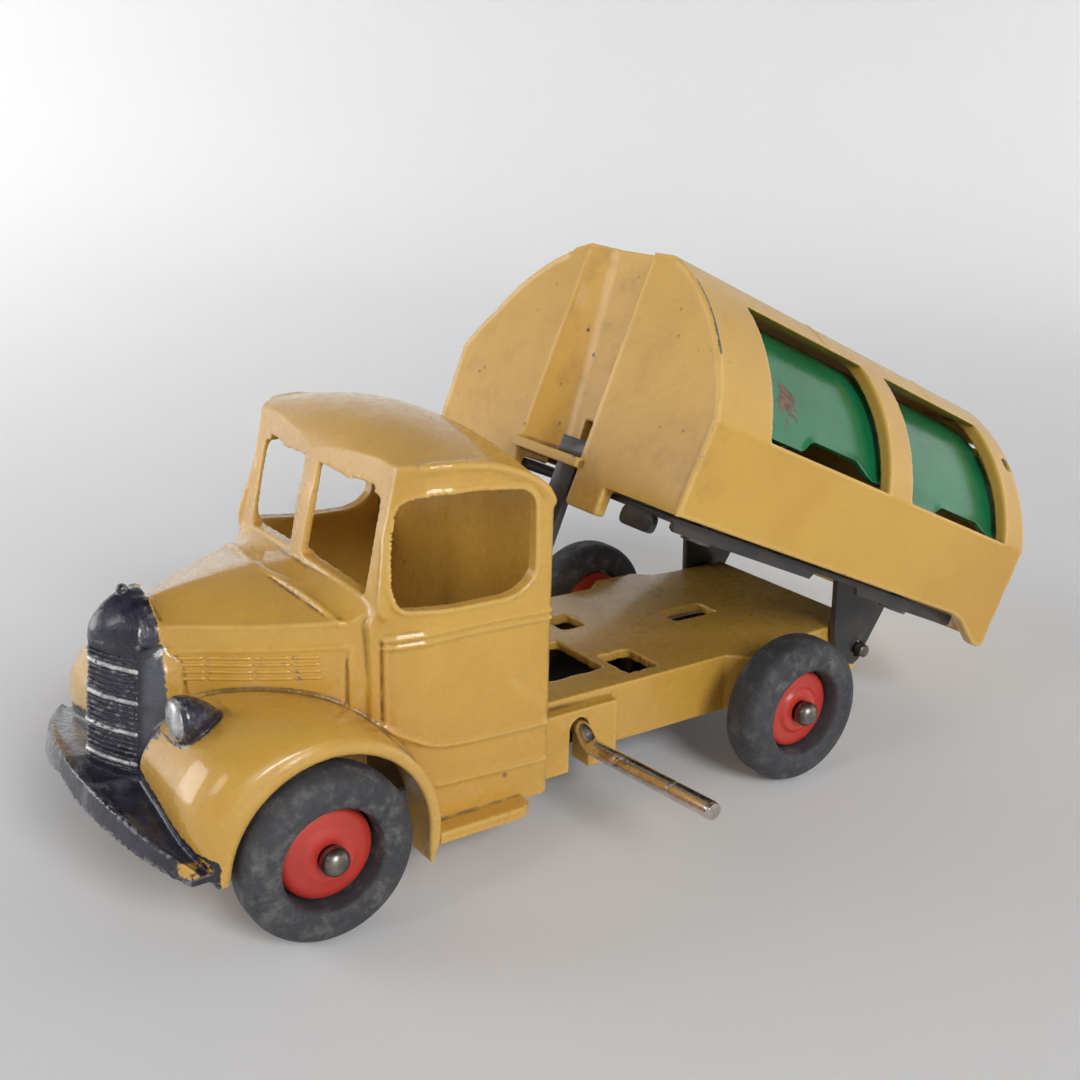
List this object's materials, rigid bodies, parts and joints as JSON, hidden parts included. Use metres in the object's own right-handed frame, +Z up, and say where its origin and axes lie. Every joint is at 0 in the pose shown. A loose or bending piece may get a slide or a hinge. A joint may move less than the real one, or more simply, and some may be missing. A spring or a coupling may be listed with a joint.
{
  "type": "toy refuse tipper truck",
  "caption": "Die-cast toy refuse truck: hollow cab, arched tipping body with sliding side shutters, side crank with lifting arm, tinplate base, rubber-tyred wheels.",
  "frame": {"origin": "middle of the base plate's flat underside, halfway between the axles", "axes": "+Z up, the truck faces -Y, +X is the truck's left side, where the crank handle comes out"},
  "size_m": [0.0605, 0.1197, 0.0599],
  "materials": {
    "tan_paint": "glossy tan enamel on a zinc casting",
    "red_paint": "satin red enamel",
    "green_paint": "glossy green enamel on tinplate, chipped",
    "black_tinplate": "semi-gloss black enamel on tinplate",
    "tyre_rubber": "dusty moulded rubber",
    "steel": "dull steel wire and rivets",
    "nickel": "worn nickel plate"
  },
  "bodies": {
    "chassis": {"cab_chassis": "tan_paint", "base_plate": "black_tinplate", "base_plate_front_rivet": "steel", "base_plate_rear_rivet": "steel", "front_axle": "steel", "rear_axle": "steel", "pivot_pin": "steel"},
    "front_left_wheel": {"front_left_tyre": "tyre_rubber", "front_left_hub": "red_paint"},
    "front_right_wheel": {"front_right_tyre": "tyre_rubber", "front_right_hub": "red_paint"},
    "rear_left_wheel": {"rear_left_tyre": "tyre_rubber", "rear_left_hub": "red_paint"},
    "rear_right_wheel": {"rear_right_tyre": "tyre_rubber", "rear_right_hub": "red_paint"},
    "tipping_body": {"refuse_body": "tan_paint", "sub_frame": "black_tinplate", "door_hinge_pin": "steel", "sub_frame_front_left_rivet": "steel", "sub_frame_front_right_rivet": "steel", "sub_frame_rear_left_rivet": "steel", "sub_frame_rear_right_rivet": "steel"},
    "tailgate": {"rear_door": "tan_paint"},
    "front_left_shutter_body": {"front_left_shutter": "green_paint"},
    "front_right_shutter_body": {"front_right_shutter": "green_paint"},
    "rear_left_shutter_body": {"rear_left_shutter": "green_paint"},
    "rear_right_shutter_body": {"rear_right_shutter": "green_paint"},
    "crank": {"crank_handle": "nickel", "lifting_arm": "black_tinplate"}
  },
  "joints": [
    {"name": "front_left_wheel_spin", "type": "hinge", "parent": "chassis", "child": "front_left_wheel", "pos_m": [0.02035, -0.03, 0.00195], "axis": [1, 0, 0], "continuous": true},
    {"name": "front_right_wheel_spin", "type": "hinge", "parent": "chassis", "child": "front_right_wheel", "pos_m": [-0.02035, -0.03, 0.00195], "axis": [1, 0, 0], "continuous": true},
    {"name": "rear_left_wheel_spin", "type": "hinge", "parent": "chassis", "child": "rear_left_wheel", "pos_m": [0.02035, 0.03, 0.00195], "axis": [1, 0, 0], "continuous": true},
    {"name": "rear_right_wheel_spin", "type": "hinge", "parent": "chassis", "child": "rear_right_wheel", "pos_m": [-0.02035, 0.03, 0.00195], "axis": [1, 0, 0], "continuous": true},
    {"name": "body_tip", "type": "hinge", "parent": "chassis", "child": "tipping_body", "pos_m": [0, 0.0473, 0.0035], "axis": [1, 0, 0], "range_deg": [-1, 21.5]},
    {"name": "crank_turn", "type": "hinge", "parent": "chassis", "child": "crank", "pos_m": [0, 0.0032, 0.0038], "axis": [1, 0, 0], "range_deg": [-57, 4]},
    {"name": "tailgate_hinge", "type": "hinge", "parent": "tipping_body", "child": "tailgate", "pos_m": [0, 0.06843, 0.02559], "axis": [1, 0, 0], "range_deg": [0, 80]},
    {"name": "front_left_shutter_slide", "type": "hinge", "parent": "tipping_body", "child": "front_left_shutter_body", "pos_m": [0.0021, 0.05164, 0.01371], "axis": [0, -0.9203, 0.3912], "range_deg": [0, 20.5]},
    {"name": "front_right_shutter_slide", "type": "hinge", "parent": "tipping_body", "child": "front_right_shutter_body", "pos_m": [-0.0021, 0.05164, 0.01371], "axis": [0, 0.9203, -0.3912], "range_deg": [0, 20.5]},
    {"name": "rear_left_shutter_slide", "type": "hinge", "parent": "tipping_body", "child": "rear_left_shutter_body", "pos_m": [0.0021, 0.05164, 0.01371], "axis": [0, -0.9203, 0.3912], "range_deg": [0, 21.5]},
    {"name": "rear_right_shutter_slide", "type": "hinge", "parent": "tipping_body", "child": "rear_right_shutter_body", "pos_m": [-0.0021, 0.05164, 0.01371], "axis": [0, 0.9203, -0.3912], "range_deg": [0, 21.5]}
  ],
  "couplings": [
    {"joint": "crank_turn", "follows": "body_tip", "ratio": -2.59}
  ]
}
